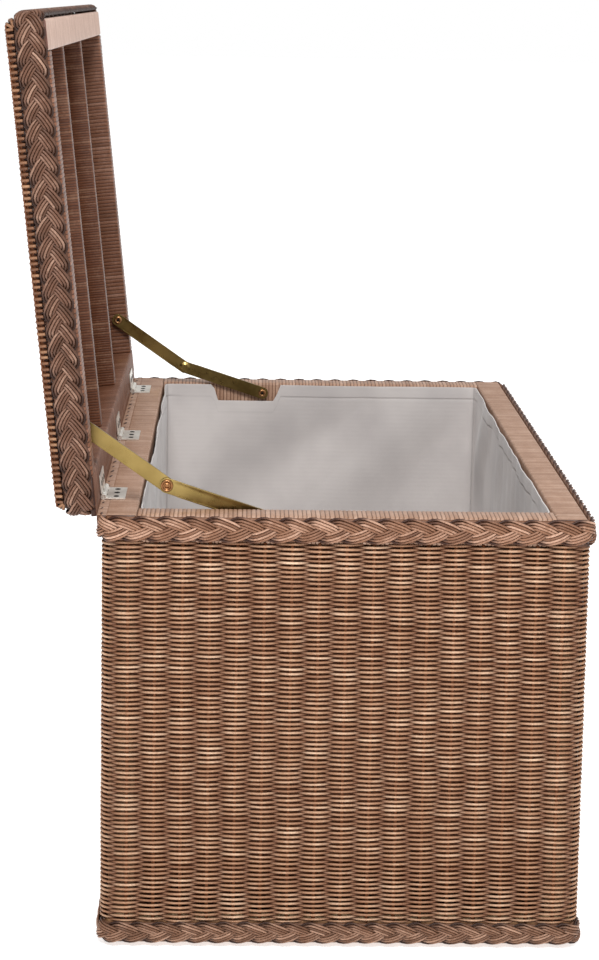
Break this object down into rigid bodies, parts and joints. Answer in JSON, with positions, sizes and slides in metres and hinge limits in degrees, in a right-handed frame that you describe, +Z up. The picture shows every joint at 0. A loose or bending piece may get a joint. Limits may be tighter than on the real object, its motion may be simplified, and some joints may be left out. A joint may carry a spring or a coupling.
{
  "type": "woven storage trunk",
  "caption": "Long box-shaped trunk of woven rattan with plaited edges, a hinged lid held open by folding stays, and a removable cotton liner.",
  "frame": {"origin": "on the ground, under the middle of the outer box of the trunk with its lid open", "axes": "+Z up, X along the trunk's length, the front faces -Y and the hinges are along the back, towards +Y"},
  "size_m": [0.8, 0.5916, 0.9426],
  "materials": {
    "woven_rattan": "matte woven rattan, about 2.5 mm strands",
    "plaited_rattan": "matte plaited rattan",
    "wrapped_cane": "satin split cane wrapped round a pole",
    "pole_wood": "matte bare pole",
    "plywood": "matte plywood",
    "cotton": "off-white plain-weave cotton",
    "nickel": "nickel plate, satin",
    "brass_plate": "yellow passivated zinc or brass plate",
    "dark_steel": "dark steel screw",
    "grey_plastic": "matte grey plastic glide"
  },
  "bodies": {
    "chest": {"base_braid": "plaited_rattan", "corner_post_back_left": "pole_wood", "corner_post_back_right": "pole_wood", "corner_post_front_left": "pole_wood", "corner_post_front_right": "pole_wood", "floor_panel": "plywood", "foot_back_left": "grey_plastic", "foot_back_right": "grey_plastic", "foot_front_left": "grey_plastic", "foot_front_right": "grey_plastic", "hinge_1_chest_leaf": "nickel", "hinge_1_pin": "nickel", "hinge_2_chest_leaf": "nickel", "hinge_2_pin": "nickel", "hinge_3_chest_leaf": "nickel", "hinge_3_pin": "nickel", "liner": "cotton", "rim_braid": "plaited_rattan", "rim_rail_back": "wrapped_cane", "rim_rail_front": "wrapped_cane", "rim_rail_left": "wrapped_cane", "rim_rail_right": "wrapped_cane", "sill_rail_back": "pole_wood", "sill_rail_front": "pole_wood", "sill_rail_left": "pole_wood", "sill_rail_right": "pole_wood", "stay_left_rim_screw": "dark_steel", "stay_left_rim_spacer": "brass_plate", "stay_right_rim_screw": "dark_steel", "stay_right_rim_spacer": "brass_plate", "woven_wall_back": "woven_rattan", "woven_wall_front": "woven_rattan", "woven_wall_left": "woven_rattan", "woven_wall_right": "woven_rattan"},
    "lid": {"hinge_1_lid_leaf": "nickel", "hinge_2_lid_leaf": "nickel", "hinge_3_lid_leaf": "nickel", "lid_braid": "plaited_rattan", "lid_panel": "woven_rattan", "lid_rail_back": "wrapped_cane", "lid_rail_front": "wrapped_cane", "lid_rail_left": "wrapped_cane", "lid_rail_right": "wrapped_cane", "lid_rib_1": "wrapped_cane", "lid_rib_2": "wrapped_cane", "stay_left_lid_screw": "dark_steel", "stay_left_lid_spacer": "brass_plate", "stay_right_lid_screw": "dark_steel", "stay_right_lid_spacer": "brass_plate"},
    "left_upper_arm": {"stay_left_upper_arm": "brass_plate", "stay_left_elbow_rivet": "brass_plate"},
    "left_lower_arm": {"stay_left_lower_arm": "brass_plate"},
    "right_upper_arm": {"stay_right_upper_arm": "brass_plate", "stay_right_elbow_rivet": "brass_plate"},
    "right_lower_arm": {"stay_right_lower_arm": "brass_plate"}
  },
  "joints": [
    {"name": "lid_hinge", "type": "hinge", "parent": "chest", "child": "lid", "pos_m": [0, 0.20021, 0.4515], "axis": [1, 0, 0], "range_deg": [0, 96]},
    {"name": "left_lid_pivot", "type": "hinge", "parent": "lid", "child": "left_upper_arm", "pos_m": [-0.3505, 0.22331, 0.53253], "axis": [1, 0, 0], "range_deg": [-46.9, 0.1]},
    {"name": "left_rim_pivot", "type": "hinge", "parent": "chest", "child": "left_lower_arm", "pos_m": [-0.3505, 0.03221, 0.437], "axis": [1, 0, 0], "range_deg": [-64.8, 0.1]},
    {"name": "right_lid_pivot", "type": "hinge", "parent": "lid", "child": "right_upper_arm", "pos_m": [0.3505, 0.22331, 0.53253], "axis": [1, 0, 0], "range_deg": [-46.9, 0.1]},
    {"name": "right_rim_pivot", "type": "hinge", "parent": "chest", "child": "right_lower_arm", "pos_m": [0.3505, 0.03221, 0.437], "axis": [1, 0, 0], "range_deg": [-64.8, 0.1]}
  ],
  "couplings": [
    {"joint": "left_lid_pivot", "follows": "lid_hinge", "ratio": -0.48757},
    {"joint": "left_rim_pivot", "follows": "lid_hinge", "ratio": -0.67331},
    {"joint": "right_lid_pivot", "follows": "lid_hinge", "ratio": -0.48757},
    {"joint": "right_rim_pivot", "follows": "lid_hinge", "ratio": -0.67331}
  ]
}
